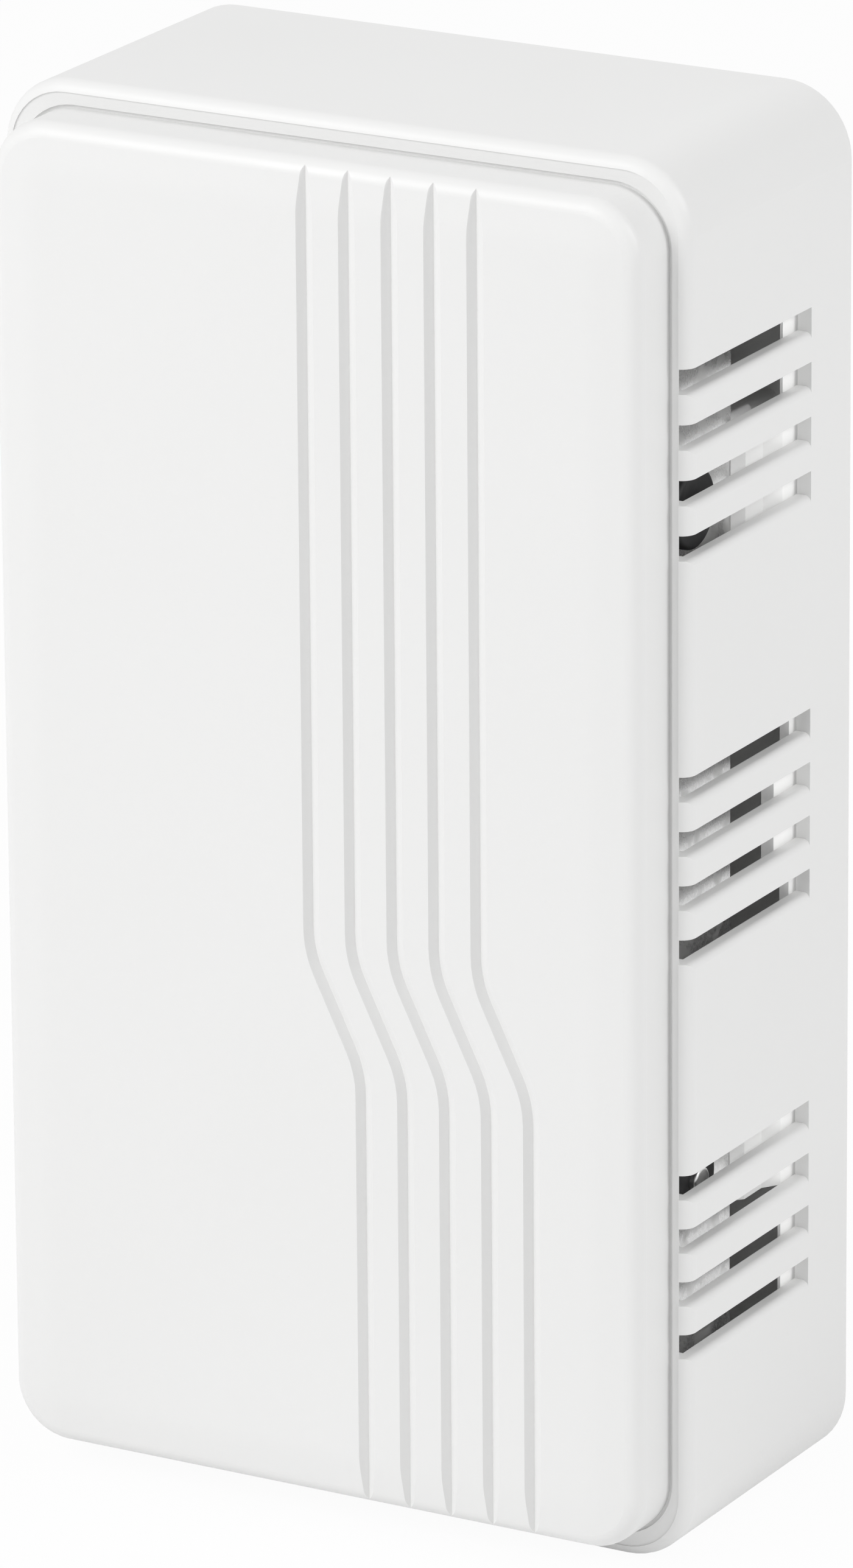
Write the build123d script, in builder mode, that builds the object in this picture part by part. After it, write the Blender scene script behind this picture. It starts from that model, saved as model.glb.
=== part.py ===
from build123d import *
import os
from math import cos, pi, sin, sqrt, tan

os.makedirs("parts", exist_ok=True)

# A wall-mounted two-tone door chime. A white tray screws to the wall and carries everything:
# a solenoid in the middle, a steel tone bar on edge at each side, and the bell-wire terminals.
# A deep white cover with louvre slots in its sides pushes over the tray.
#
# Frame, in millimetres: X to the right, Z up, origin in the middle of the back, on the wall.
# The front faces -Y. A depth is a distance from the wall towards the front, so y = -depth,
# and a sketch on Plane.XZ.offset(depth) extrudes towards the front.

# Cover
case_width = 100.0
case_height = 187.4
case_depth = 44.1
case_corner = 9.5
cover_wall = 2.0
rim_width = 1.5
rim_fillet = 2.0
channel_depth = 0.25
channel_side = 1.5
channel_end = 2.1
panel_rise = 8.5
panel_corner = 7.8
root_groove_width = 0.5
root_groove_depth = 0.4
shoulder_width = 6.0
shoulder_drop = 0.7
panel_fillet = 2.2
shoulder_fillet = 20.0

# Wave grooves in the front panel
groove_count = 5
groove_pitch = 6.15
groove_first_x = -0.63
groove_depth = 1.1
groove_left_flank = 0.9
groove_right_flank = 1.5
groove_bend_radius = 14.0
groove_jog = 7.5
groove_jog_start = 14.9
groove_jog_height = 15.3

# Louvre slots in both sides of the cover
slot_height = 3.3
slot_pitch = 7.25
slots_in_group = 4
slot_groups = 3
slot_group_pitch = 53.6
slot_middle = 1.25
slot_rear = 10.9
slot_undercut = 1.2
slot_round = 0.9

# Tray and the snap tongues at its sides
tray_gap = 0.4
tray_floor = 2.2
tray_rim_height = 14.2
tray_rim_wall = 1.8
tray_rim_edge = 0.4
tray_bevel_angle = 25.0
tray_dip = 2.0
tray_dip_length = 50.0
latch_width = 14.0
latch_height = 16.4
latch_slit = 1.5
latch_slit_floor = 5.0
latch_bead = 0.1
latch_bead_length = 2.4
latch_bead_depth = 7.0
latch_recess = 0.5
latch_recess_room = 0.6
stop_width = 8.0
stop_reach = 1.6
stop_length = 6.0
stop_x = 26.0
stop_gap = 0.3

# Wall fixing and cable entry
wall_screw_spacing = 146.0
wall_screw_radius = 2.25
wall_boss_radius = 5.5
wall_boss_height = 4.0
cable_hole_below = 59.0
cable_hole_radius = 6.0
cable_collar_wall = 1.6
cable_collar_height = 3.0

# Tone bars: steel strips on edge, hung at the points that stay still when they ring
bar_thickness = 2.5
bar_side_gap = 5.5
bar_end_gap = 12.0
bar_middle_share = 0.8244
bar_width_share = 0.5752
left_bar_share = 0.8875
bar_node_share = 0.224
bar_hole_radius = 3.4
bar_corner = 1.5

# Rubber bushes in the bars and the pins that hold them
bush_radius_share = 0.224
bush_flange = 1.5
bush_fit = 0.02
bush_edge = 0.6
pin_radius = 1.2
pin_fit = 0.03
pin_head_radius = 1.9
pin_head = 1.0
pin_edge = 0.4
pin_reach = 6.0
post_width = 8.0
post_length = 13.0
post_above_pin = 6.0
post_corner = 1.0
post_rib = 2.0
post_rib_reach = 7.0
post_rib_height = 20.0
guard_above_node = 7.8
guard_below_node = 7.0
guard_wall = 1.4
guard_slope = 2.3
guard_lap = 0.2
guard_side_gap = 0.1

# Solenoid
core_radius = 3.0
core_end_inset = 1.0
core_edge = 0.4
bore_fit = 0.08
bobbin_tube_wall = 0.72
bobbin_flange = 1.5
winding_margin = 1.6
winding_fit = 0.02
tape_wall = 0.4
yoke_plate = 1.6
yoke_width = 18.0
yoke_ear_width = 10.0
yoke_ear_margin = 3.8
yoke_gap = 0.2
yoke_nose_fit = 0.05
yoke_tab = 7.0
yoke_bend = 1.5
keeper_gap = 0.2
keeper_tab_gap = 0.1
pedestal_wall = 2.0
pedestal_inset = 3.0
boss_radius = 4.5
boss_floor = 1.0

# Striker
strike_gap = 5.0
tip_radius = 2.8
tip_dome = 2.3
tip_spigot_radius = 1.4
tip_spigot_length = 5.0
tip_spigot_fit = 0.03
tip_spigot_end_gap = 0.3
collar_radius = 5.6
collar_thickness = 1.5
collar_to_tip_end = 10.0
spring_room = 12.0
spring_radius = 4.7
spring_wire = 0.5
spring_turns = 7
spring_end_gap = 0.1

# Self-tapping screws
screw_radius = 1.45
screw_fit = 0.05
screw_clearance = 0.25
screw_length = 9.0
screw_head_radius = 2.8
screw_head = 1.9
screw_head_edge = 0.5
screw_head_room = 0.7
screw_slot = 0.7
screw_slot_depth = 0.9
screw_counterbore_gap = 0.3

# Terminal block
terminal_below = 40.0
terminal_pad = 5.0
terminal_width = 25.0
terminal_height = 12.0
terminal_depth = 13.0
terminal_pitch = 14.0
terminal_corner = 1.0
terminal_edge = 0.5
tunnel_size = 5.4
tunnel_depth = 4.8
pillar_size = 5.2
pillar_length = 9.0
wire_bore_radius = 1.4
wire_bore_drop = 0.8
clamp_screw_radius = 1.3
clamp_screw_fit = 0.05
clamp_screw_tip_gap = 0.15
clamp_head_radius = 2.0
clamp_head = 1.6
clamp_open = 2.4
clamp_well_gap = 0.3
clamp_slot = 0.5
clamp_slot_depth = 0.7
terminal_counterbore = 8.0

# Coil leads: from the winding down to the tops of the terminal pillars
lead_radius = 0.5
lead_start_share = 0.6
lead_first_drop = 10.8
lead_last_drop = 8.0
lead_edge_margin = 1.0
lead_bend_share = 0.45

# One overrun serves every cut, and one reach sinks joined features into what carries them
overrun = 1.0
sink = 0.4

# Sizes and places that follow from those above
panel_width = case_width - 2 * (rim_width + channel_side)
panel_height = case_height - 2 * (rim_width + channel_end)
panel_front = case_depth + panel_rise
channel_floor = case_depth - channel_depth
case_inside = channel_floor - cover_wall
panel_inside = panel_front - cover_wall
inner_width = case_width - 2 * cover_wall
inner_height = case_height - 2 * cover_wall
inner_corner = case_corner - cover_wall
tray_width = inner_width - 2 * tray_gap
tray_height = inner_height - 2 * tray_gap
tray_corner = inner_corner - tray_gap
bar_outer_x = case_width / 2 - bar_side_gap
bar_inner_x = bar_outer_x - bar_thickness
bar_middle = bar_middle_share * case_inside
bar_width = bar_width_share * case_inside
bar_length = case_height - 2 * bar_end_gap
bar_lengths = {1: bar_length, -1: bar_length * left_bar_share}
bar_centre = slot_middle
bar_nodes = {
    side: [bar_centre + end * bar_lengths[side] * (1 / 2 - bar_node_share) for end in (1, -1)] for side in bar_lengths
}
post_face_x = bar_inner_x - bush_flange
post_x = post_face_x - post_width / 2
post_top = bar_middle + post_above_pin
guard_top = bar_middle - bar_width / 2 + guard_lap
guard_inner_x = bar_outer_x + guard_side_gap
guard_outer_x = guard_inner_x + guard_wall
tray_bevel = tray_rim_wall - tray_rim_edge
tray_bevel_drop = tray_bevel / tan(tray_bevel_angle * pi / 180)
bush_flange_radius = bush_radius_share * bar_width
bush_face_x = bar_outer_x + bush_flange
tip_end_x = bar_inner_x - strike_gap
collar_x = tip_end_x - collar_to_tip_end
coil_depth = bar_middle
bobbin_radius = bar_width / 2
winding_radius = bobbin_radius - winding_margin
yoke_front = coil_depth - bobbin_radius - yoke_gap
yoke_rear = yoke_front - yoke_plate
yoke_inner_x = collar_x - spring_room
yoke_outer_x = yoke_inner_x + yoke_plate
keeper_rear = coil_depth + bobbin_radius + keeper_gap
bore_radius = core_radius + bore_fit
tube_radius = bore_radius + bobbin_tube_wall
tape_radius = winding_radius + tape_wall
ear_screw_z = bobbin_radius + screw_head_radius + screw_head_room
core_start_x = -collar_x
core_end_x = yoke_inner_x - core_end_inset
core_length = core_end_x - core_start_x
terminal_z = -terminal_below
terminal_rear = tray_floor + terminal_pad
terminal_front = terminal_rear + terminal_depth
tunnel_middle = terminal_rear + tunnel_depth
pillar_front = tunnel_middle + pillar_size / 2
wire_bore_depth = tunnel_middle - wire_bore_drop
wire_bore_front = wire_bore_depth + wire_bore_radius
terminal_screw_seat = terminal_front - terminal_counterbore
cable_hole_z = -cable_hole_below
slot_run = case_depth - slot_rear
sides = (1, -1)


def depth_plane(depth):
    """A plane parallel to the wall; sketches on it extrude towards the front."""
    return Plane.XZ.offset(depth)


def side_plane(side, x):
    """A plane square to X at side * x, facing outwards, with its own x along side * Y."""
    return Plane(origin=(side * x, 0, 0), x_dir=(0, side, 0), z_dir=(side, 0, 0))


def finish(part, name):
    """Label a finished piece and write it."""
    part.label = name
    export_step(part, f"parts/{name}.step")


# Front cover: one thin white moulding. A narrow rim runs round its front, inside the rim a
# shallow channel, and inside the channel the raised panel with its soft shoulder.
slot_bottoms = [
    slot_middle + (group - (slot_groups - 1) / 2) * slot_group_pitch
    + (slot - (slots_in_group - 1) / 2) * slot_pitch - slot_height / 2
    for group in range(slot_groups)
    for slot in range(slots_in_group)
]
shoulder_depth = panel_front - shoulder_drop


def lies_at(edge, depth):
    """Whether an edge lies in the plane at a depth."""
    box = edge.bounding_box()
    near = shoulder_drop / 10
    return abs(box.min.Y + depth) < near and abs(box.max.Y + depth) < near


with BuildPart() as front_cover:
    with BuildSketch(Plane.XZ):
        RectangleRounded(case_width, case_height, case_corner)
    extrude(amount=case_depth)
    fillet(front_cover.faces().sort_by(Axis.Y)[0].edges(), radius=rim_fillet)
    with BuildSketch(depth_plane(channel_floor)):
        RectangleRounded(case_width - 2 * rim_width, case_height - 2 * rim_width, case_corner - rim_width)
    extrude(amount=channel_depth + overrun, mode=Mode.SUBTRACT)
    with BuildSketch(depth_plane(channel_floor - root_groove_depth)):
        RectangleRounded(
            panel_width + 2 * root_groove_width,
            panel_height + 2 * root_groove_width,
            panel_corner + root_groove_width,
        )
    extrude(amount=root_groove_depth, mode=Mode.SUBTRACT)
    with BuildSketch(depth_plane(channel_floor - root_groove_depth)):
        RectangleRounded(panel_width, panel_height, panel_corner)
    extrude(amount=panel_front - channel_floor + root_groove_depth)
    panel_face = front_cover.faces().sort_by(Axis.Y)[0]
    chamfer(panel_face.edges(), length=shoulder_width, length2=shoulder_drop, reference=panel_face)
    fillet(front_cover.edges().filter_by(lambda edge: lies_at(edge, shoulder_depth)), radius=panel_fillet)
    fillet(front_cover.edges().filter_by(lambda edge: lies_at(edge, panel_front)), radius=shoulder_fillet)

    # Hollow inside: shallow under the channel, deeper behind the panel
    with BuildSketch(Plane.XZ):
        RectangleRounded(inner_width, inner_height, inner_corner)
    extrude(amount=case_inside, mode=Mode.SUBTRACT)
    with BuildSketch(depth_plane(case_inside - sink)):
        RectangleRounded(panel_width - 2 * cover_wall, panel_height - 2 * cover_wall, panel_corner - cover_wall)
    extrude(amount=panel_inside - case_inside + sink, mode=Mode.SUBTRACT)

    # Slots: each runs from near the back through the rounded front edge and the rim, and the
    # lower edge of its mouth is rounded off
    with BuildSketch(*[Plane.XY.offset(bottom) for bottom in slot_bottoms]):
        for side in sides:
            Polygon(
                (side * (case_width / 2 + overrun), -slot_rear),
                (side * (inner_width / 2 - slot_undercut), -slot_rear),
                (side * (inner_width / 2 - slot_undercut), -case_inside),
                (side * (case_width / 2 - rim_width), -channel_floor),
                (side * (case_width / 2 - rim_width), -case_depth - overrun),
                (side * (case_width / 2 + overrun), -case_depth - overrun),
                align=None,
            )
    extrude(amount=slot_height, mode=Mode.SUBTRACT)
    with BuildSketch(depth_plane(slot_rear)):
        with Locations(*[
            (side * (case_width + overrun - slot_round) / 2, bottom - slot_round / 2)
            for side in sides for bottom in slot_bottoms
        ]):
            Rectangle(slot_round + overrun, slot_round)
        with Locations(*[
            (side * (case_width / 2 - slot_round), bottom - slot_round) for side in sides for bottom in slot_bottoms
        ]):
            Circle(slot_round, mode=Mode.SUBTRACT)
    extrude(amount=slot_run + overrun, mode=Mode.SUBTRACT)

    # Grooves: an uneven V that runs out through the shoulder at both ends of the panel
    groove_top = panel_height / 2 + overrun
    groove_scale = (groove_depth + overrun) / groove_depth
    for groove in range(groove_count):
        groove_x = groove_first_x + groove * groove_pitch
        with BuildLine(depth_plane(panel_front)) as groove_path:
            FilletPolyline(
                (groove_x, groove_top),
                (groove_x, -groove_jog_start),
                (groove_x + groove_jog, -groove_jog_start - groove_jog_height),
                (groove_x + groove_jog, -groove_top),
                radius=groove_bend_radius,
            )
        with BuildSketch(Plane.XY.offset(groove_top)):
            Polygon(
                (groove_x - groove_left_flank * groove_scale, -panel_front - overrun),
                (groove_x, -panel_front + groove_depth),
                (groove_x + groove_right_flank * groove_scale, -panel_front - overrun),
                align=None,
            )
        sweep(path=groove_path.wire(), mode=Mode.SUBTRACT)

    # Stops inside the top and bottom walls, which meet the tray's rim
    with BuildSketch(depth_plane(tray_rim_height + stop_gap)):
        with GridLocations(2 * stop_x, inner_height - stop_reach, 2, 2):
            Rectangle(stop_width, stop_reach + 2 * sink)
    extrude(amount=stop_length)

    # Recesses that the tray's snap beads click into
    with BuildSketch(depth_plane(latch_bead_depth - latch_bead_length / 2 - latch_recess_room)):
        with GridLocations(inner_width, 0, 2, 1):
            Rectangle(2 * latch_recess, latch_width + 2 * latch_recess_room)
    extrude(amount=latch_bead_length + 2 * latch_recess_room, mode=Mode.SUBTRACT)

finish(front_cover.part, "front_cover")


# Base tray: one white moulding with a rim that the cover slides over, a snap tongue at each
# side, four posts for the tone bars, a pedestal for the solenoid and a pad for the terminals.
post_places = [(side * post_x, node) for side in sides for node in bar_nodes[side]]
rib_places = [
    (side * (post_x - post_width / 2 - post_rib_reach / 2), node) for side in sides for node in bar_nodes[side]
]
tongue_x = tray_width - tray_rim_wall

with BuildPart() as base_tray:
    with BuildSketch(Plane.XZ):
        RectangleRounded(tray_width, tray_height, tray_corner)
    extrude(amount=tray_rim_height)
    with BuildSketch(depth_plane(tray_floor)):
        RectangleRounded(
            tray_width - 2 * tray_rim_wall, tray_height - 2 * tray_rim_wall, tray_corner - tray_rim_wall
        )
    extrude(amount=tray_rim_height, mode=Mode.SUBTRACT)

    # The rim's inner edge is bevelled, and the rim is lower on both sides of each snap tongue
    with BuildSketch(depth_plane(tray_rim_height - tray_bevel_drop)):
        RectangleRounded(
            tray_width - 2 * tray_rim_wall, tray_height - 2 * tray_rim_wall, tray_corner - tray_rim_wall
        )
    extrude(amount=tray_bevel_drop, taper=-tray_bevel_angle, mode=Mode.SUBTRACT)
    with BuildSketch(depth_plane(tray_rim_height - tray_dip)):
        Rectangle(tray_width + overrun, tray_dip_length)
    extrude(amount=tray_dip + overrun, mode=Mode.SUBTRACT)

    # Snap tongues: the rim stands taller there, between two slits, with a bead outside
    with BuildSketch(depth_plane(latch_slit_floor)):
        with GridLocations(tongue_x, 0, 2, 1):
            Rectangle(tray_rim_wall, latch_width)
    extrude(amount=latch_height - latch_slit_floor)
    with BuildSketch(depth_plane(latch_slit_floor)):
        with GridLocations(tongue_x, latch_width + latch_slit, 2, 2):
            Rectangle(tray_rim_wall + 2 * tray_gap, latch_slit)
    extrude(amount=tray_rim_height, mode=Mode.SUBTRACT)
    with BuildSketch(Plane.XY.offset(-latch_width / 2)):
        for side in sides:
            Polygon(
                (side * (tray_width / 2 - sink), -latch_bead_depth + latch_bead_length / 2),
                (side * tray_width / 2, -latch_bead_depth + latch_bead_length / 2),
                (side * (tray_width / 2 + latch_bead), -latch_bead_depth),
                (side * tray_width / 2, -latch_bead_depth - latch_bead_length / 2),
                (side * (tray_width / 2 - sink), -latch_bead_depth - latch_bead_length / 2),
                align=None,
            )
    extrude(amount=latch_width)

    # Guards: where the bars hang, the rim grows a thin wall that keeps each bar from being pushed in
    for side in sides:
        with BuildSketch(*[Plane.XY.offset(node - guard_below_node) for node in bar_nodes[side]]):
            Polygon(
                (side * guard_inner_x, -tray_floor),
                (side * tray_width / 2, -tray_floor),
                (side * tray_width / 2, -tray_rim_height),
                (side * guard_outer_x, -tray_rim_height - guard_slope),
                (side * guard_outer_x, -guard_top + guard_wall),
                (side * guard_inner_x, -guard_top),
                align=None,
            )
        extrude(amount=guard_above_node + guard_below_node)

    # Tone bar posts, each with a rib on its inner side and a blind hole for its pin
    with BuildSketch(depth_plane(tray_floor)):
        with Locations(*post_places):
            RectangleRounded(post_width, post_length, post_corner)
    extrude(amount=post_top - tray_floor)
    with BuildSketch(depth_plane(tray_floor)):
        with Locations(*rib_places):
            Rectangle(post_rib_reach + 2 * sink, post_rib)
    extrude(amount=post_rib_height)
    for side in sides:
        with BuildSketch(side_plane(side, post_face_x)):
            with Locations(*[(-side * bar_middle, node) for node in bar_nodes[side]]):
                Circle(pin_radius + pin_fit)
        extrude(amount=-pin_reach - overrun, mode=Mode.SUBTRACT)

    # Solenoid pedestal: two cross walls, a spine and two screw bosses
    with BuildSketch(depth_plane(tray_floor)):
        with GridLocations(2 * (yoke_inner_x - pedestal_inset), 0, 2, 1):
            Rectangle(pedestal_wall, yoke_width)
        Rectangle(pedestal_wall, 2 * ear_screw_z)
        Rectangle(2 * (yoke_inner_x - pedestal_inset), pedestal_wall)
        with GridLocations(0, 2 * ear_screw_z, 1, 2):
            Circle(boss_radius)
    extrude(amount=yoke_rear - tray_floor)
    with BuildSketch(depth_plane(yoke_front - screw_length - boss_floor)):
        with GridLocations(0, 2 * ear_screw_z, 1, 2):
            Circle(screw_radius + screw_fit)
    extrude(amount=screw_length, mode=Mode.SUBTRACT)

    # Terminal pad with its screw hole
    with BuildSketch(depth_plane(tray_floor)):
        with Locations((0, terminal_z)):
            RectangleRounded(terminal_width, terminal_height, terminal_corner)
    extrude(amount=terminal_pad)
    with BuildSketch(depth_plane(terminal_screw_seat - screw_length - screw_fit)):
        with Locations((0, terminal_z)):
            Circle(screw_radius + screw_fit)
    extrude(amount=screw_length, mode=Mode.SUBTRACT)

    # Bosses and holes for the two wall screws, collar and hole for the bell wire
    with BuildSketch(depth_plane(tray_floor)):
        with GridLocations(0, wall_screw_spacing, 1, 2):
            Circle(wall_boss_radius)
    extrude(amount=wall_boss_height - tray_floor)
    with BuildSketch(depth_plane(tray_floor)):
        with Locations((0, cable_hole_z)):
            Circle(cable_hole_radius + cable_collar_wall)
    extrude(amount=cable_collar_height)
    with BuildSketch(depth_plane(-overrun)):
        with GridLocations(0, wall_screw_spacing, 1, 2):
            Circle(wall_screw_radius)
        with Locations((0, cable_hole_z)):
            Circle(cable_hole_radius)
    extrude(amount=tray_floor + cable_collar_height + 2 * overrun, mode=Mode.SUBTRACT)

finish(base_tray.part, "base_tray")


# Tone bars: a longer, lower one on the right and a shorter, higher one on the left
for side, name in ((1, "tone_bar_right"), (-1, "tone_bar_left")):
    with BuildPart() as tone_bar:
        with BuildSketch(side_plane(side, bar_inner_x)):
            with Locations((-side * bar_middle, bar_centre)):
                RectangleRounded(bar_width, bar_lengths[side], bar_corner)
            with Locations(*[(-side * bar_middle, node) for node in bar_nodes[side]]):
                Circle(bar_hole_radius, mode=Mode.SUBTRACT)
        extrude(amount=bar_thickness)
    finish(tone_bar.part, name)

# Rubber bushes: a flange each side of the bar and a waist in its hole
for side, name in ((1, "bar_bushes_right"), (-1, "bar_bushes_left")):
    bush_places = [(-side * bar_middle, node) for node in bar_nodes[side]]
    with BuildPart() as bushes:
        with BuildSketch(side_plane(side, post_face_x + bush_fit)):
            with Locations(*bush_places):
                Circle(bush_flange_radius)
        extrude(amount=bush_flange - 2 * bush_fit)
        with BuildSketch(side_plane(side, bar_outer_x + bush_fit)):
            with Locations(*bush_places):
                Circle(bush_flange_radius)
        extrude(amount=bush_flange - 2 * bush_fit)
        fillet(bushes.faces().filter_by(Axis.X).sort_by(Axis.X, reverse=side > 0)[:2].edges(), radius=bush_edge)
        with BuildSketch(side_plane(side, post_face_x + bush_flange / 2)):
            with Locations(*bush_places):
                Circle(bar_hole_radius - bush_fit)
        extrude(amount=bar_thickness + bush_flange)
        with BuildSketch(side_plane(side, post_face_x - overrun)):
            with Locations(*bush_places):
                Circle(pin_radius + pin_fit)
        extrude(amount=bar_thickness + 2 * (bush_flange + overrun), mode=Mode.SUBTRACT)
    finish(bushes.part, name)

# Pins: one through each bush into its post
with BuildPart() as bar_pins:
    for side in sides:
        pin_places = [(-side * bar_middle, node) for node in bar_nodes[side]]
        with BuildSketch(side_plane(side, post_face_x - pin_reach)):
            with Locations(*pin_places):
                Circle(pin_radius)
        extrude(amount=bush_face_x - post_face_x + pin_reach)
        with BuildSketch(side_plane(side, bush_face_x)):
            with Locations(*pin_places):
                Circle(pin_head_radius)
        extrude(amount=pin_head)
        fillet(
            bar_pins.faces().filter_by(Axis.X).sort_by(Axis.X, reverse=side > 0)[:2].edges(), radius=pin_edge
        )
finish(bar_pins.part, "bar_pins")


# Solenoid: a steel U and a flat keeper round a moulded bobbin, its winding and the tape over it
with BuildPart() as solenoid_yoke:
    with BuildSketch(depth_plane(yoke_rear)):
        Rectangle(2 * yoke_outer_x, yoke_width)
        RectangleRounded(yoke_ear_width, 2 * (ear_screw_z + yoke_ear_margin), yoke_ear_margin)
        with GridLocations(0, 2 * ear_screw_z, 1, 2):
            Circle(screw_radius + screw_clearance, mode=Mode.SUBTRACT)
    extrude(amount=yoke_plate)
    with BuildSketch(depth_plane(yoke_rear)):
        with GridLocations(yoke_inner_x + yoke_outer_x, 0, 2, 1):
            Rectangle(yoke_plate, yoke_width)
    extrude(amount=keeper_rear - yoke_rear)
    fillet(
        solenoid_yoke.edges().filter_by(Axis.Z).filter_by(lambda edge: lies_at(edge, yoke_rear))
        .filter_by(lambda edge: abs(edge.center().X) > yoke_inner_x),
        radius=yoke_bend,
    )
    with BuildSketch(depth_plane(keeper_rear - sink)):
        with GridLocations(yoke_inner_x + yoke_outer_x, 0, 2, 1):
            Rectangle(yoke_plate, yoke_tab)
    extrude(amount=yoke_plate + sink)
    with BuildSketch(Plane.YZ.offset(-yoke_outer_x - overrun)):
        with Locations((-coil_depth, 0)):
            Circle(tube_radius + yoke_nose_fit)
    extrude(amount=2 * (yoke_outer_x + overrun), mode=Mode.SUBTRACT)
finish(solenoid_yoke.part, "solenoid_yoke")

with BuildPart() as yoke_keeper:
    with BuildSketch(depth_plane(keeper_rear)):
        Rectangle(2 * yoke_outer_x, yoke_width)
        with GridLocations(2 * (yoke_inner_x + yoke_plate), 0, 2, 1):
            Rectangle(2 * (yoke_plate + keeper_tab_gap), yoke_tab + 2 * keeper_tab_gap, mode=Mode.SUBTRACT)
    extrude(amount=yoke_plate)
finish(yoke_keeper.part, "yoke_keeper")


flange_inner_x = yoke_inner_x - bobbin_flange
winding_end_x = flange_inner_x - winding_fit
winding_inner = tube_radius + winding_fit
tape_inner = winding_radius + winding_fit
coil_rings = {
    "coil_bobbin": [
        (tube_radius, bore_radius, -yoke_outer_x, yoke_outer_x),
        (bobbin_radius, bore_radius, -yoke_inner_x, -flange_inner_x),
        (bobbin_radius, bore_radius, flange_inner_x, yoke_inner_x),
    ],
    "coil_winding": [(winding_radius, winding_inner, -winding_end_x, winding_end_x)],
    "coil_tape": [(tape_radius, tape_inner, -winding_end_x, winding_end_x)],
}
for name, rings in coil_rings.items():
    with BuildPart() as coil_piece:
        for outer, inner, start, end in rings:
            with BuildSketch(Plane.YZ.offset(start)):
                with Locations((-coil_depth, 0)):
                    Circle(outer)
                    Circle(inner, mode=Mode.SUBTRACT)
            extrude(amount=end - start)
    finish(coil_piece.part, name)


# Striker: a steel core that slides in the bobbin, with a nylon tip pressed into each end
socket_radius = tip_spigot_radius + tip_spigot_fit
socket_length = tip_spigot_length + tip_spigot_end_gap
with BuildPart() as plunger_core:
    with BuildSketch(Plane.YZ.offset(core_start_x)):
        with Locations((-coil_depth, 0)):
            Circle(core_radius)
    extrude(amount=core_length)
    chamfer(plunger_core.faces().filter_by(Axis.X).edges(), length=core_edge)
    for start, end in ((core_start_x, core_start_x + socket_length), (core_end_x - socket_length, core_end_x)):
        with BuildSketch(Plane.YZ.offset(start)):
            with Locations((-coil_depth, 0)):
                Circle(socket_radius)
        extrude(amount=end - start, mode=Mode.SUBTRACT)
finish(plunger_core.part, "plunger_core")

for side, name in ((1, "striker_tip_right"), (-1, "striker_tip_left")):
    core_face_x = core_end_x if side > 0 else -core_start_x
    with BuildPart() as striker_tip:
        with BuildSketch(side_plane(side, core_face_x)):
            with Locations((-side * coil_depth, 0)):
                Circle(tip_radius)
        extrude(amount=tip_end_x - core_face_x)
        fillet(striker_tip.faces().sort_by(Axis.X, reverse=side > 0)[0].edges(), radius=tip_dome)
        with BuildSketch(side_plane(side, collar_x)):
            with Locations((-side * coil_depth, 0)):
                Circle(collar_radius)
        extrude(amount=collar_thickness)
        with BuildSketch(side_plane(side, core_face_x - tip_spigot_length)):
            with Locations((-side * coil_depth, 0)):
                Circle(tip_spigot_radius)
        extrude(amount=tip_spigot_length + sink)
    finish(striker_tip.part, name)


# Return springs: one round each end of the striker, between the yoke and the tip's collar.
# The wire's middle line is made of short true arcs, two to each half turn.
def unit(vector):
    return vector * (1 / vector.length)


def two_arcs(start, start_way, end, end_way):
    """Two arcs that run smoothly from one point and direction to another."""
    chord = end - start
    ways = start_way + end_way
    turn = 2 * (1 - start_way.dot(end_way))
    along = chord.dot(ways)
    reach = (sqrt(along * along + turn * chord.dot(chord)) - along) / turn
    middle = (start + end + (start_way - end_way) * reach) * (1 / 2)
    middle_way = unit(middle - start) * (2 * unit(middle - start).dot(start_way)) - start_way
    return [Edge.make_tangent_arc(start, start_way, middle), Edge.make_tangent_arc(middle, middle_way, end)]


def spring_point(side, turns):
    angle = 2 * pi * turns
    x = spring_start + spring_rise * turns
    return Vector(side * x, -coil_depth + spring_radius * cos(angle), spring_radius * sin(angle))


def spring_way(side, turns):
    angle = 2 * pi * turns
    across = 2 * pi * spring_radius
    return unit(Vector(side * spring_rise, -across * sin(angle), across * cos(angle)))


spring_start = yoke_outer_x + spring_end_gap + spring_wire / 2
spring_length = collar_x - spring_end_gap - spring_wire / 2 - spring_start
spring_rise = spring_length / spring_turns
print("spring: least gap between turns", round(spring_rise - spring_wire, 2), "mm")

for side, name in ((1, "return_spring_right"), (-1, "return_spring_left")):
    half_turns = [half / 2 for half in range(2 * spring_turns + 1)]
    spring_edges = []
    for first, last in zip(half_turns, half_turns[1:]):
        spring_edges += two_arcs(
            spring_point(side, first), spring_way(side, first), spring_point(side, last), spring_way(side, last)
        )
    spring_path = Wire(spring_edges)
    with BuildPart() as return_spring:
        with BuildSketch(Plane(origin=spring_point(side, 0), z_dir=spring_way(side, 0))):
            Circle(spring_wire / 2)
        sweep(path=spring_path)
    finish(return_spring.part, name)


# Screws: self-tapping, with a rounded slotted head
def tapping_screws(places, seat):
    """Screws whose heads sit on the plane at depth seat."""
    with BuildPart() as screws:
        with BuildSketch(depth_plane(seat)):
            with Locations(*places):
                Circle(screw_head_radius)
        extrude(amount=screw_head)
        fillet(screws.faces().sort_by(Axis.Y)[: len(places)].edges(), radius=screw_head_edge)
        with BuildSketch(depth_plane(seat - screw_length)):
            with Locations(*places):
                Circle(screw_radius)
        extrude(amount=screw_length)
        with BuildSketch(depth_plane(seat + screw_head - screw_slot_depth)):
            with Locations(*places):
                Rectangle(2 * screw_head_radius + overrun, screw_slot)
        extrude(amount=screw_head, mode=Mode.SUBTRACT)
    return screws.part


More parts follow.
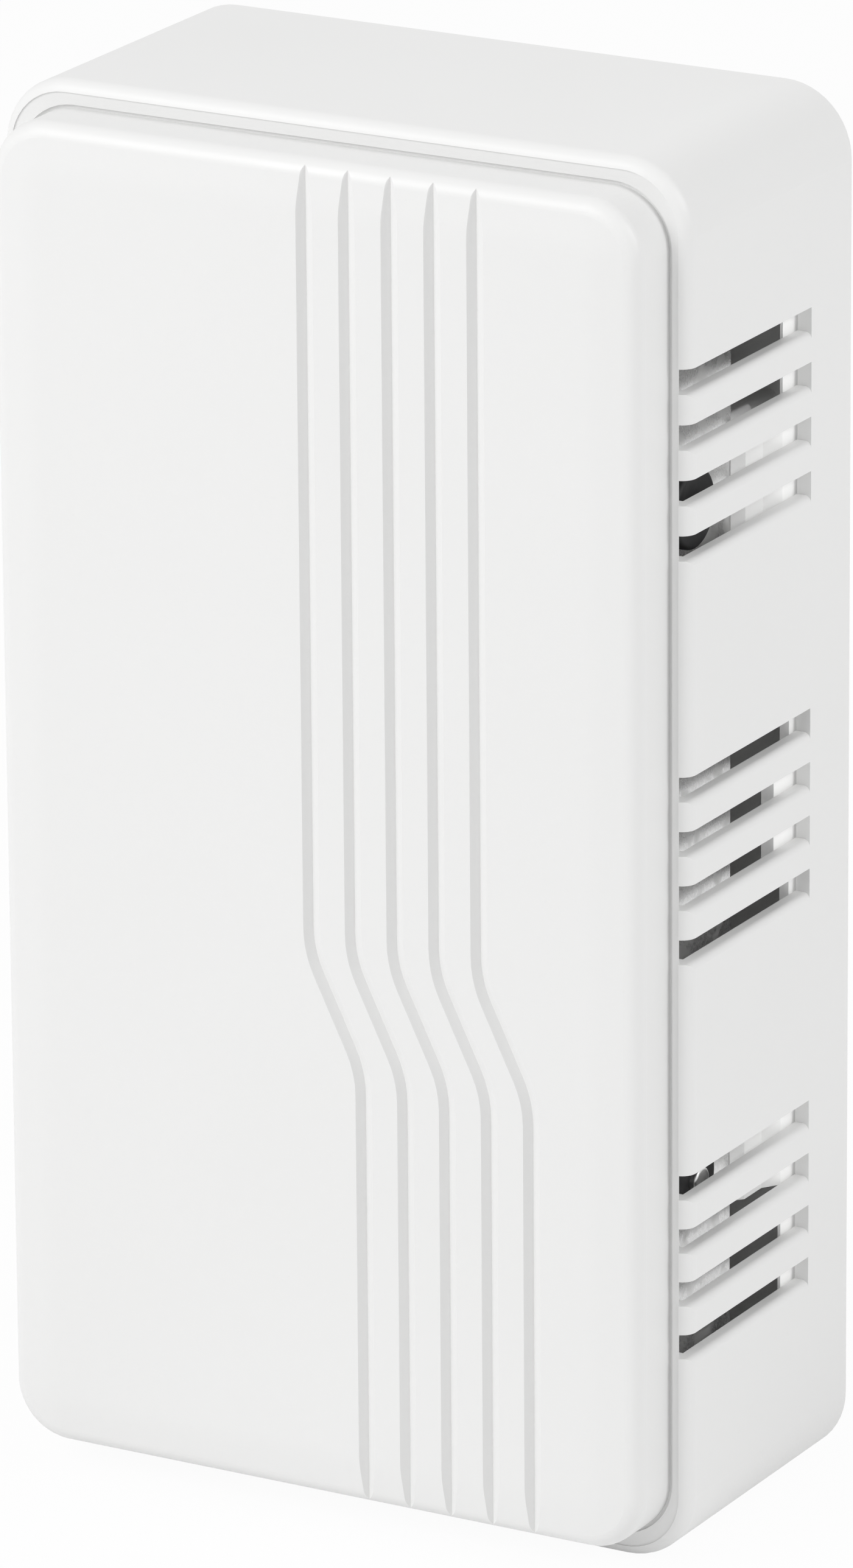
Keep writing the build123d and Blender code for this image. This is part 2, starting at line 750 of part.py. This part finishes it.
finish(tapping_screws([(0, ear_screw_z), (0, -ear_screw_z)], yoke_front), "yoke_screws")
finish(tapping_screws([(0, terminal_z)], terminal_screw_seat), "terminal_block_screw")

# Terminal block: a moulded body with two square tunnels for the brass pillars
terminal_places = [(side * terminal_pitch / 2, terminal_z) for side in sides]
with BuildPart() as terminal_block:
    with BuildSketch(depth_plane(terminal_rear)):
        with Locations((0, terminal_z)):
            RectangleRounded(terminal_width, terminal_height, terminal_corner)
    extrude(amount=terminal_depth)
    fillet(terminal_block.faces().sort_by(Axis.Y)[0].edges(), radius=terminal_edge)
    with BuildSketch(Plane.XY.offset(terminal_z - terminal_height / 2 - overrun)):
        with Locations(*[(x, -tunnel_middle) for x, z in terminal_places]):
            Rectangle(tunnel_size, tunnel_size)
    extrude(amount=terminal_height + 2 * overrun, mode=Mode.SUBTRACT)
    with BuildSketch(depth_plane(tunnel_middle)):
        with Locations(*terminal_places):
            Circle(clamp_head_radius + clamp_well_gap)
    extrude(amount=terminal_depth, mode=Mode.SUBTRACT)
    with BuildSketch(depth_plane(terminal_rear - overrun)):
        with Locations((0, terminal_z)):
            Circle(screw_radius + screw_clearance)
    extrude(amount=terminal_depth, mode=Mode.SUBTRACT)
    with BuildSketch(depth_plane(terminal_screw_seat)):
        with Locations((0, terminal_z)):
            Circle(screw_head_radius + screw_counterbore_gap)
    extrude(amount=terminal_counterbore + overrun, mode=Mode.SUBTRACT)
finish(terminal_block.part, "terminal_block")

# Brass pillars: a bore for the wire and a threaded hole that its screw turns in
with BuildPart() as terminal_pillars:
    with BuildSketch(Plane.XY.offset(terminal_z - pillar_length / 2)):
        with Locations(*[(x, -tunnel_middle) for x, z in terminal_places]):
            Rectangle(pillar_size, pillar_size)
        with Locations(*[(x, -wire_bore_depth) for x, z in terminal_places]):
            Circle(wire_bore_radius, mode=Mode.SUBTRACT)
    extrude(amount=pillar_length)
    with BuildSketch(depth_plane(wire_bore_depth)):
        with Locations(*terminal_places):
            Circle(clamp_screw_radius + clamp_screw_fit)
    extrude(amount=pillar_size, mode=Mode.SUBTRACT)
finish(terminal_pillars.part, "terminal_pillars")

# Clamp screws: opened as delivered, with their ends just clear of the wire bore
for (x, z), name in zip(terminal_places, ("terminal_screw_right", "terminal_screw_left")):
    with BuildPart() as clamp_screw_part:
        with BuildSketch(depth_plane(pillar_front + clamp_open)):
            with Locations((x, z)):
                Circle(clamp_head_radius)
        extrude(amount=clamp_head)
        with BuildSketch(depth_plane(wire_bore_front + clamp_screw_tip_gap)):
            with Locations((x, z)):
                Circle(clamp_screw_radius)
        extrude(amount=pillar_front + clamp_open - wire_bore_front - clamp_screw_tip_gap)
        with BuildSketch(depth_plane(pillar_front + clamp_open + clamp_head - clamp_slot_depth)):
            with Locations((x, z)):
                Rectangle(2 * clamp_head_radius + overrun, clamp_slot)
        extrude(amount=clamp_head, mode=Mode.SUBTRACT)
    finish(clamp_screw_part.part, name)

# Coil leads: each leaves the tape under the winding and is soldered to the top of its pillar
lead_start_x = lead_start_share * yoke_inner_x
lead_top = -tape_radius
lead_end = terminal_z + pillar_length / 2
lead_depth = pillar_front - lead_edge_margin
for side, name in ((1, "coil_lead_right"), (-1, "coil_lead_left")):
    points = [
        Vector(side * lead_start_x, -coil_depth, lead_top),
        Vector(side * lead_start_x, -coil_depth, lead_top - lead_first_drop),
        Vector(side * terminal_pitch / 2, -lead_depth, lead_end + lead_last_drop),
        Vector(side * terminal_pitch / 2, -lead_depth, lead_end),
    ]
    radii = []
    for before, corner, after in zip(points, points[1:], points[2:]):
        turn = (corner - before).get_angle(after - corner) * pi / 180
        shorter = min((corner - before).length, (after - corner).length)
        radii.append(lead_bend_share * shorter * (1 + cos(turn)) / sin(turn))
    print(name, "bend radii", [round(radius, 1) for radius in radii])
    with BuildPart() as coil_lead:
        with BuildLine() as lead_path:
            FilletPolyline(*points, radius=radii)
        with BuildSketch(Plane(origin=points[0], z_dir=points[1] - points[0])):
            Circle(lead_radius)
        sweep(path=lead_path.wire())
    lead_volume = pi * lead_radius**2 * lead_path.wire().length
    print(name, "volume", round(coil_lead.part.volume, 3), "of", round(lead_volume, 3))
    finish(coil_lead.part, name)
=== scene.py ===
# %% [markdown]
# A doorbell chime box: a deep white cover with louvred sides over a tray that holds a solenoid,
# two steel tone bars and the bell-wire terminals. Its shapes, sizes and moving bodies are
# already packed. This lesson loads them as a fixed frame and gives each piece the finish that
# the real one has. Every finish is made of nodes, so there is no image file anywhere.

# %% Load the packed chime
import math

import bpy
from mathutils import Matrix, Vector


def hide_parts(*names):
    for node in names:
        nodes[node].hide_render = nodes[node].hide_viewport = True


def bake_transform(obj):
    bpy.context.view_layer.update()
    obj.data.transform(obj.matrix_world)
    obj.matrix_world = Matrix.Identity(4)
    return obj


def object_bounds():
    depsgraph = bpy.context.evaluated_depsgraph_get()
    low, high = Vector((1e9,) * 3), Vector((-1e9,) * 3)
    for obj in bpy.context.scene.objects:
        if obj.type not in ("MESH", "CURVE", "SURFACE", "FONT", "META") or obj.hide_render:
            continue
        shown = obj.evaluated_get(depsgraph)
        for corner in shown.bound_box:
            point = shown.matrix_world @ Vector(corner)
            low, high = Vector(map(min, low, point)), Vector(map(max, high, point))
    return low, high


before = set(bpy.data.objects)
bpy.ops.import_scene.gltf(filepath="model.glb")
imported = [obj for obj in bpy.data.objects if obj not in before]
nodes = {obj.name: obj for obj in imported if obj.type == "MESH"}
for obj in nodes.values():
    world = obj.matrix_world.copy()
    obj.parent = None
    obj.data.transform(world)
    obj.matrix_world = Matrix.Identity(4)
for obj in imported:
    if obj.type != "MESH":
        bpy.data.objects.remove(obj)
packed_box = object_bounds()
print("pieces:", len(nodes), "box:", packed_box)

# %% [markdown]
# Blender measures in metres and the chime is only 19 cm tall, so the small sizes below are
# written in millimetres and turned into metres by one helper.

# %% Millimetres
MM = 0.001


def mm(*values):
    """Millimetres to metres: one number, or a vector for several."""
    if len(values) == 1:
        return values[0] * MM
    return Vector(values) * MM


print("height:", round((packed_box[1][2] - packed_box[0][2]) / MM, 1), "mm")

# %% [markdown]
# A finish is a small tree of shader nodes. Writing the sums of such a tree as plain Python is
# much easier to read than adding Math nodes one by one, so a thin wrapper goes round each
# output socket. Adding, multiplying or subtracting wrapped sockets adds the Math node behind it.

# %% A socket that can be used in sums
class Field:
    """A value that varies over a surface: one output socket of a finish's tree."""

    def __init__(self, finish, socket):
        self.finish = finish
        self.socket = socket

    def combine(self, operation, first, second=None):
        """One Math node on one or two values, each a Field or a number."""
        values = {0: first}
        if second is not None:
            values[1] = second
        return self.finish.node("ShaderNodeMath", {"operation": operation}, values)

    def __add__(self, other):
        return self.combine("ADD", self, other)

    def __radd__(self, other):
        return self.combine("ADD", other, self)

    def __sub__(self, other):
        return self.combine("SUBTRACT", self, other)

    def __rsub__(self, other):
        return self.combine("SUBTRACT", other, self)

    def __mul__(self, other):
        return self.combine("MULTIPLY", self, other)

    def __rmul__(self, other):
        return self.combine("MULTIPLY", other, self)

    def __truediv__(self, other):
        return self.combine("DIVIDE", self, other)

    def clamped(self):
        """The value kept between 0 and 1."""
        return self.combine("MINIMUM", self.combine("MAXIMUM", self, 0.0), 1.0)

    def part(self, index):
        """X, Y or Z of a vector field."""
        return self.finish.node("ShaderNodeSeparateXYZ", {}, {"Vector": self}, "XYZ"[index])


print("Field:", Field.__doc__)

# %% [markdown]
# The finish itself keeps the material, its tree and one method that makes any node. Settings
# go in first, because some of them change which sockets a node has, and then the sockets get
# a value or a link. Object coordinates are the place on the chime in metres, so every pattern
# has a real size and stays fixed to its piece when it moves.
#
# A Mix node has a set of sockets for each kind of data, all with the same names, so its colour
# sockets are picked by number.

# %% A finish and its nodes
MIX_FACTOR = 0
MIX_FIRST_COLOUR = 6
MIX_SECOND_COLOUR = 7
MIX_COLOUR_RESULT = 2


class Finish:
    """One material, built up from nodes."""

    NOISE_ROUGHNESS = 0.55

    def __init__(self, name):
        self.material = bpy.data.materials.new(name)
        self.material.use_nodes = True
        self.tree = self.material.node_tree
        self.tree.nodes.clear()
        self.place = self.node("ShaderNodeTexCoord", output="Object")

    def node(self, kind, settings=None, values=None, output=None):
        """Makes any node. Gives the output asked for, or else the first one in use."""
        made = self.tree.nodes.new(kind)
        for name, setting in (settings or {}).items():
            setattr(made, name, setting)
        for name, value in (values or {}).items():
            if isinstance(value, Field):
                self.tree.links.new(value.socket, made.inputs[name])
            else:
                made.inputs[name].default_value = value
        if output is None:
            output = next(i for i, socket in enumerate(made.outputs) if socket.enabled)
        return Field(self, made.outputs[output])

    def stretched(self, x, y, z):
        """The place, with its axes scaled so that a pattern is drawn out along one of them."""
        return self.node(
            "ShaderNodeVectorMath", {"operation": "MULTIPLY"}, {0: self.place, 1: (x, y, z)}
        )

    def noise(self, size, detail, place=None, warp=0.0):
        """Cloudy noise whose blots are about size millimetres across, from 0 to 1."""
        values = {
            "Vector": place or self.place,
            "Scale": 1 / mm(size),
            "Detail": detail,
            "Roughness": self.NOISE_ROUGHNESS,
            "Distortion": warp,
        }
        return self.node("ShaderNodeTexNoise", {}, values, "Fac")

    def steps(self, field, low, high):
        """A field turned into a mask: 0 below low, 1 above high."""
        soft = {"interpolation_type": "SMOOTHSTEP"}
        values = {"Value": field, "From Min": low, "From Max": high, "To Min": 0.0, "To Max": 1.0}
        return self.node("ShaderNodeMapRange", soft, values, "Result")

    def mixed(self, mask, first, second):
        """Two colours mixed by a mask: the first where it is 0, the second where it is 1."""
        values = {MIX_FACTOR: mask, MIX_FIRST_COLOUR: (*first, 1), MIX_SECOND_COLOUR: (*second, 1)}
        return self.node("ShaderNodeMix", {"data_type": "RGBA"}, values, MIX_COLOUR_RESULT)

    def raised(self, height, depth):
        """Bump from a height field of 0 to 1 that stands for depth millimetres."""
        values = {"Height": height, "Distance": mm(depth), "Strength": 1.0}
        return self.node("ShaderNodeBump", {}, values, "Normal")

    def show(self, shader):
        """Makes a shader the one that the material shows."""
        output = self.tree.nodes.new("ShaderNodeOutputMaterial")
        self.tree.links.new(shader.socket, output.inputs["Surface"])
        return self.material

    def surface(self, **values):
        """The usual shader. Names use underscores for the spaces of the socket's own name."""
        named = {name.replace("_", " "): value for name, value in values.items()}
        return self.show(self.node("ShaderNodeBsdfPrincipled", {}, named, "BSDF"))


def dress(material, *names):
    """Puts one finish on CAD pieces."""
    for name in names:
        piece = nodes[name]
        piece.data.materials.clear()
        piece.data.materials.append(material)
    print(material.name, "on", ", ".join(names))


# %% [markdown]
# The cover and the tray are injection-moulded white plastic. The tool's eroded surface leaves
# a fine satin grain on them, under a tenth of a millimetre deep, and the plastic cools a little
# unevenly, so its sheen drifts over some centimetres. A handled cover also carries a few faint
# rubbed patches, which shine slightly more, and small duller specks. Noise at those four sizes,
# here in millimetres, gives all of it.
#
# The tray's rim and the guards beside its bar pins are so thin that light comes through them.
# A faint painted glow stands in for that light. It is painted light, and it lifts the white seen
# in the slots.
# It is kept to what lies further out and further forward than the two limits below, in
# millimetres.

# %% Moulded white plastic
GRAIN_SIZE = 0.45
SPECK_SIZE = 1.7
RUBBED_SIZE = 21.0
CLOUD_SIZE = 34.0
PAINTED_GLOW_SIDE = 39.7
PAINTED_GLOW_FRONT = 9.0
PAINTED_GLOW_BLEND = 0.5


def painted_glow_region(finish):
    """1 where the painted glow goes, on the tray's thin walls, and 0 behind and between them."""
    sideways = finish.place.part(0)
    sideways = sideways.combine("ABSOLUTE", sideways)
    forward = 0.0 - finish.place.part(1)
    outer = finish.steps(sideways, mm(PAINTED_GLOW_SIDE), mm(PAINTED_GLOW_SIDE + PAINTED_GLOW_BLEND))
    return outer * finish.steps(forward, mm(PAINTED_GLOW_FRONT), mm(PAINTED_GLOW_FRONT + PAINTED_GLOW_BLEND))


def moulded_plastic(name, colour, shade, roughness, grain_depth, painted_glow):
    finish = Finish(name)
    painted_glow_mask = painted_glow_region(finish)
    grain = finish.noise(GRAIN_SIZE, detail=2.0)
    clouds = finish.noise(CLOUD_SIZE, detail=2.0)
    rubbed = finish.steps(finish.noise(RUBBED_SIZE, detail=5.0, warp=0.6), 0.58, 0.74)
    specks = finish.steps(finish.noise(SPECK_SIZE, detail=4.0), 0.70, 0.76)
    return finish.surface(
        Base_Color=finish.mixed((clouds * 0.7 + specks * 0.5).clamped(), colour, shade),
        Roughness=roughness + 0.07 * clouds + 0.05 * grain - 0.06 * rubbed,
        IOR=1.5,
        # Emission here is painted light: a glow on the tray's thin walls, where no lamp is.
        Emission_Color=finish.mixed(painted_glow_mask, (0.0, 0.0, 0.0), (painted_glow, painted_glow, painted_glow)),
        Emission_Strength=1.0,
        Normal=finish.raised(grain, grain_depth),
    )


cover_white = moulded_plastic(
    "cover_white", colour=(0.835, 0.835, 0.831), shade=(0.815, 0.815, 0.809),
    roughness=0.40, grain_depth=0.010, painted_glow=0.0,
)
tray_white = moulded_plastic(
    "tray_white", colour=(0.950, 0.950, 0.945), shade=(0.930, 0.930, 0.920),
    roughness=0.50, grain_depth=0.016, painted_glow=0.13,
)
dress(cover_white, "front_cover")
dress(tray_white, "base_tray")

# %% [markdown]
# Nylon is softer and waxier than the cover's plastic: a touch warmer, and light sinks a short
# way into it. The striker's tips and the bobbin are made of it. Each has its own tint, since
# natural nylon yellows with heat near the coil.

# %% Waxy nylon
def nylon(name, colour, shade, roughness):
    finish = Finish(name)
    clouds = finish.noise(6.0, detail=3.0)
    grain = finish.noise(0.25, detail=2.0)
    return finish.surface(
        Base_Color=finish.mixed(clouds, colour, shade),
        Roughness=roughness + 0.10 * clouds,
        IOR=1.53,
        Subsurface_Weight=0.15,
        Subsurface_Scale=mm(1.0),
        Normal=finish.raised(grain, 0.006),
    )


dress(
    nylon("tip_nylon", (0.84, 0.83, 0.79), (0.78, 0.76, 0.70), roughness=0.36),
    "striker_tip_right", "striker_tip_left",
)
dress(
    nylon("bobbin_nylon", (0.76, 0.72, 0.62), (0.68, 0.62, 0.50), roughness=0.42),
    "coil_bobbin",
)

# %% [markdown]
# Rolled steel sheet has fine lines along its length, and a turned rod has them round it. Noise
# that is drawn out many times along one axis and left fine across it gives them: below, the
# smaller an axis's number is, the longer the pattern runs along it. The bars, the pins and the
# screws have hardly any lines left under their plating, so theirs is nearly even. Zinc plating
# clouds the sheen, and here and there it has dulled to another grey. The brass pillars are
# turned rod too, and dull in the same way.

# %% Rolled, turned and plated metal
LINE_SIZE = 1.0


def worked_metal(name, colour, dull, roughness, stretch, line_depth=0.004, cloud_size=9.0):
    finish = Finish(name)
    lines = finish.noise(LINE_SIZE, detail=4.0, place=finish.stretched(*stretch))
    clouds = finish.noise(cloud_size, detail=4.0, warp=0.4)
    dulled = finish.steps(clouds, 0.48, 0.72)
    return finish.surface(
        Base_Color=finish.mixed((0.75 * dulled + 0.25 * lines).clamped(), colour, dull),
        Metallic=1.0 - 0.35 * dulled,
        Roughness=roughness + 0.16 * lines + 0.14 * dulled,
        Normal=finish.raised(lines, line_depth),
    )


dress(
    worked_metal("bar_bright", (0.80, 0.80, 0.80), (0.72, 0.72, 0.71), roughness=0.19,
                 stretch=(3.0, 3.0, 2.0), line_depth=0.002, cloud_size=4.0),
    "tone_bar_right", "tone_bar_left",
)
dress(
    worked_metal("pin_bright", (0.70, 0.70, 0.70), (0.58, 0.58, 0.57), roughness=0.22,
                 stretch=(3.0, 3.0, 3.0), line_depth=0.003, cloud_size=2.0),
    "bar_pins",
)
dress(
    worked_metal("yoke_zinc", (0.66, 0.64, 0.56), (0.58, 0.57, 0.53), roughness=0.30,
                 stretch=(0.15, 4.0, 4.0)),
    "solenoid_yoke", "yoke_keeper",
)
dress(
    worked_metal("core_bright", (0.56, 0.56, 0.57), (0.50, 0.49, 0.48), roughness=0.20,
                 stretch=(7.0, 0.6, 0.6), line_depth=0.003),
    "plunger_core",
)
dress(
    worked_metal("spring_bright", (0.60, 0.60, 0.61), (0.45, 0.44, 0.43), roughness=0.22,
                 stretch=(1.0, 3.0, 3.0), line_depth=0.003),
    "return_spring_right", "return_spring_left",
)
dress(
    worked_metal("screw_zinc", (0.68, 0.68, 0.66), (0.54, 0.54, 0.52), roughness=0.26,
                 stretch=(2.0, 2.0, 2.0), line_depth=0.006, cloud_size=3.0),
    "yoke_screws", "terminal_block_screw", "terminal_screw_right", "terminal_screw_left",
)
dress(
    worked_metal("pillar_brass", (0.74, 0.55, 0.24), (0.52, 0.38, 0.18), roughness=0.28,
                 stretch=(0.6, 5.0, 0.6), cloud_size=4.0),
    "terminal_pillars",
)

# %% [markdown]
# The striker slides 5 mm each way and its two springs give by as much. Coils that stayed stiff
# would run through the striker's tips. Each spring is drawn by a copy of its mesh, with its place
# baked into the mesh, and the spring itself is hidden. The copy keeps the spring's finish.

# %% Spring copies
for side in ("right", "left"):
    spring = nodes[f"return_spring_{side}"]
    coils = bpy.data.objects.new(f"spring_coils_{side}", spring.data.copy())
    bpy.context.scene.collection.objects.link(coils)
    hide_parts(spring.name)
    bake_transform(coils)

# %% [markdown]
# The bushes are soft black rubber. It is never quite black: a dusty bloom greys it, more on
# some places than others, and its skin is faintly lumpy. The terminal block is hard black
# plastic, which shines a little more, has a finer skin and takes the same dust.

# %% Black rubber and black moulded plastic
def dark_piece(name, colour, bloom, roughness, lump_size, lump_depth):
    finish = Finish(name)
    lumps = finish.noise(lump_size, detail=3.0)
    dusty = finish.steps(finish.noise(4.0, detail=5.0), 0.45, 0.75)
    return finish.surface(
        Base_Color=finish.mixed(dusty, colour, bloom),
        Roughness=roughness + 0.15 * dusty,
        Normal=finish.raised(lumps, lump_depth),
    )


dress(
    dark_piece("bush_rubber", (0.024, 0.024, 0.025), (0.060, 0.060, 0.061), roughness=0.60,
               lump_size=0.5, lump_depth=0.02),
    "bar_bushes_right", "bar_bushes_left",
)
dress(
    dark_piece("block_black", (0.022, 0.022, 0.023), (0.050, 0.049, 0.047), roughness=0.38,
               lump_size=0.3, lump_depth=0.012),
    "terminal_block",
)

# %% [markdown]
# The winding is hundreds of turns of enamelled copper side by side. Along the coil's axis each
# turn is one round ridge, so the height is a low arch repeated every quarter of a millimetre:
# the distance from the middle of a turn, squared, taken from one. The grooves between turns are
# painted darker, as painted shade.

# %% Copper winding
WIRE_PITCH = 0.26
# The groove colour is a painted shade between the turns.
SHADED_GROOVE_COPPER = (0.16, 0.045, 0.02)
CROWN_COPPER = (0.62, 0.23, 0.09)


def turns_along_x(finish, pitch):
    """0 in the groove between two turns and 1 on the crown of each."""
    across = finish.place.part(0) / mm(pitch)
    offset = across.combine("FRACT", across) * 2.0 - 1.0
    return 1.0 - offset * offset


winding = Finish("copper_winding")
crowns = turns_along_x(winding, WIRE_PITCH)
winding_clouds = winding.noise(5.0, detail=3.0)
# Darker in the grooves between turns: painted shade.
copper_tone_and_groove_shade = (crowns * 0.8 + winding_clouds * 0.2).clamped()
dress(
    winding.surface(
        Base_Color=winding.mixed(copper_tone_and_groove_shade, SHADED_GROOVE_COPPER, CROWN_COPPER),
        Metallic=0.7 + 0.3 * crowns,
        Roughness=0.42 - 0.14 * crowns,
        Coat_Weight=0.3 + 0.3 * winding_clouds,
        Normal=winding.raised(crowns, 0.08),
    ),
    "coil_winding",
)

# %% [markdown]
# Over the winding goes amber polyester tape, wound round two or three times. Its cut edges show
# as fine steps along the coil, and small air bubbles and creases catch the light under it.

# %% Amber coil tape
TAPE_EDGE_PITCH = 8.9
DEEP_AMBER = (0.62, 0.40, 0.07)
PALE_AMBER = (0.74, 0.55, 0.16)

tape = Finish("coil_wrap")
tape_step = tape.steps(turns_along_x(tape, TAPE_EDGE_PITCH), 0.0, 0.06)
tape_creases = tape.noise(1.6, detail=5.0, place=tape.stretched(1.0, 0.25, 0.25), warp=0.8)
tape_bubbles = tape.steps(tape.noise(1.1, detail=2.0), 0.66, 0.72)
amber_tone = (tape_creases * 0.7 + tape_bubbles * 0.3).clamped()
dress(
    tape.surface(
        Base_Color=tape.mixed(amber_tone, DEEP_AMBER, PALE_AMBER),
        Roughness=0.20 + 0.20 * tape_creases + 0.15 * tape_bubbles,
        Normal=tape.raised(tape_step * 0.6 + tape_creases * 0.4, 0.05),
    ),
    "coil_tape",
)

# %% [markdown]
# The leads are sleeved in woven glass braid. Two sets of slanting threads cross each other; a
# sine along each slant, and the higher of the two at every point, makes the over and under.

# %% Braided lead sleeve
THREAD_PITCH = 0.32
THREAD_LEAN = 0.9


def slanting_threads(finish, pitch, lean):
    """1 on the middle of each thread and 0 between two threads."""
    spot = finish.place
    along = spot.part(2) + spot.part(1) * lean + spot.part(0) * lean
    angle = along * (2 * math.pi / mm(pitch))
    return angle.combine("SINE", angle) * 0.5 + 0.5


braid = Finish("lead_braid")
threads_up = slanting_threads(braid, THREAD_PITCH, THREAD_LEAN)
threads_down = slanting_threads(braid, THREAD_PITCH, -THREAD_LEAN)
weave = threads_up.combine("MAXIMUM", threads_up, threads_down)
dress(
    braid.surface(
        Base_Color=braid.mixed(weave, (0.30, 0.29, 0.26), (0.62, 0.61, 0.56)),
        Roughness=0.80 - 0.20 * weave,
        Normal=braid.raised(weave, 0.05),
    ),
    "coil_lead_right", "coil_lead_left",
)

# %% [markdown]
# The chime stands on a plain white floor that ends far behind it, so the whole picture has one
# background. Seen by the camera, and in reflections, most of the floor's brightness is its own
# colour at a strength of just under one, which is white. The rest is plain diffuse paint, and
# that part keeps the soft shadow under the chime. Other light sees only the paint. The floor
# lies a hair below the chime, so that no two faces share one plane.

# %% Floor
FLOOR_REACH = 3.0
FLOOR_CUTS = 8
FLOOR_GAP = 0.05
OWN_COLOUR_SHARE = 0.96
BACKGROUND = 0.992

floor_top = packed_box[0][2] - mm(FLOOR_GAP)
bpy.ops.mesh.primitive_grid_add(
    x_subdivisions=FLOOR_CUTS, y_subdivisions=FLOOR_CUTS,
    size=2 * FLOOR_REACH, location=(0, 0, floor_top),
)
floor = bpy.context.active_object
floor.name = "floor"

floor_paint = Finish("floor_paint")
paint_grain = floor_paint.noise(3.0, detail=2.0)
paint_colour = floor_paint.mixed(paint_grain, (0.95, 0.95, 0.95), (0.93, 0.93, 0.93))
paint = floor_paint.node("ShaderNodeBsdfDiffuse", {}, {"Color": paint_colour})
own_colour = {"Color": (BACKGROUND, BACKGROUND, BACKGROUND, 1), "Strength": 1.0}
own_light = floor_paint.node("ShaderNodeEmission", {}, own_colour)

rays = floor_paint.tree.nodes.new("ShaderNodeLightPath").outputs
seen = Field(floor_paint, rays["Is Camera Ray"]) + Field(floor_paint, rays["Is Glossy Ray"])
seen = (seen + Field(floor_paint, rays["Is Transmission Ray"])).clamped()
shares = {0: seen * OWN_COLOUR_SHARE, 1: paint, 2: own_light}
floor.data.materials.append(floor_paint.show(floor_paint.node("ShaderNodeMixShader", {}, shares)))
print("floor at", round(floor_top, 4))

# %% [markdown]
# The photograph was lit evenly, with hardly any shadow: a light tent. The world gives that even
# light. The camera and reflections see it at the background's white, so that the picture ends
# nowhere, and everything else is lit by its weaker light.

# %% Light tent
TENT_LIGHT = 0.57

world = bpy.data.worlds.new("light_tent")
bpy.context.scene.world = world
world.use_nodes = True
world_nodes = world.node_tree.nodes
world_links = world.node_tree.links
world_rays = world_nodes.new("ShaderNodeLightPath").outputs
white_seen = world_nodes.new("ShaderNodeMath")
white_seen.operation = "MAXIMUM"
world_links.new(world_rays["Is Camera Ray"], white_seen.inputs[0])
world_links.new(world_rays["Is Glossy Ray"], white_seen.inputs[1])
tent = world_nodes.new("ShaderNodeMix")
tent.data_type = "RGBA"
tent.inputs[MIX_FIRST_COLOUR].default_value = (TENT_LIGHT, TENT_LIGHT, TENT_LIGHT, 1)
tent.inputs[MIX_SECOND_COLOUR].default_value = (BACKGROUND, BACKGROUND, BACKGROUND, 1)
world_links.new(white_seen.outputs[0], tent.inputs[MIX_FACTOR])
world_links.new(tent.outputs[MIX_COLOUR_RESULT], world_nodes["Background"].inputs["Color"])
print("tent light", TENT_LIGHT, "under a background of", BACKGROUND)

# %% [markdown]
# A large soft lamp at the upper left, in front, brightens the front and the right flanks of the
# grooves. A smaller one stands far to the right and a little behind the front, so it leaves the
# front alone. It lights the right side and falls in through the louvre slots at the camera's own
# slant, on the white rim and the bar behind them. Both face the middle of the chime's back.

# %% Lamps
def soft_lamp(name, place, size, watts):
    """A square area lamp at place, size metres wide, facing the origin."""
    lamp = bpy.data.lights.new(name, "AREA")
    lamp.shape = "SQUARE"
    lamp.size = size
    lamp.energy = watts
    thing = bpy.data.objects.new(name, lamp)
    bpy.context.scene.collection.objects.link(thing)
    thing.location = place
    thing.rotation_euler = Vector(place).to_track_quat("Z", "Y").to_euler()


soft_lamp("upper_left_lamp", place=(-0.60, -0.97, 0.86), size=0.8, watts=9.15)
soft_lamp("right_lamp", place=(0.918, 0.033, 0.605), size=0.3, watts=2.95)

# %% [markdown]
# The camera was worked out from the straight edges in the photograph: where it stands, which
# way it looks and how long its lens is. A long lens from well over a metre away keeps the
# box's upright edges almost parallel. Its axes are built from two turns, then rolled a little.

# %% Camera
TURN = math.radians(29.51)
RAISE = math.radians(18.26)
ROLL = math.radians(-0.43)
CAMERA_DISTANCE = 1.4456
LENS = 259.4
SENSOR_WIDTH = 36
NEAREST = 0.05
FURTHEST = 50
aim_point = mm(12.01, -44.1, 7.27)

level = math.cos(RAISE)
backward = Vector((math.sin(TURN) * level, -math.cos(TURN) * level, math.sin(RAISE)))
level_right = Vector((math.cos(TURN), math.sin(TURN), 0))
level_up = backward.cross(level_right)
right = level_right * math.cos(ROLL) + level_up * math.sin(ROLL)
up = level_up * math.cos(ROLL) - level_right * math.sin(ROLL)

camera_data = bpy.data.cameras.new("photo_camera")
camera_data.lens = LENS
camera_data.sensor_width = SENSOR_WIDTH
camera_data.clip_start = NEAREST
camera_data.clip_end = FURTHEST
camera = bpy.data.objects.new("photo_camera", camera_data)
bpy.context.scene.collection.objects.link(camera)
turned = Matrix((right, up, backward)).transposed().to_4x4()
camera.matrix_world = Matrix.Translation(aim_point + backward * CAMERA_DISTANCE) @ turned
bpy.context.scene.camera = camera
bpy.context.scene.view_settings.view_transform = "Standard"
print("camera at", [round(v, 4) for v in camera.location])
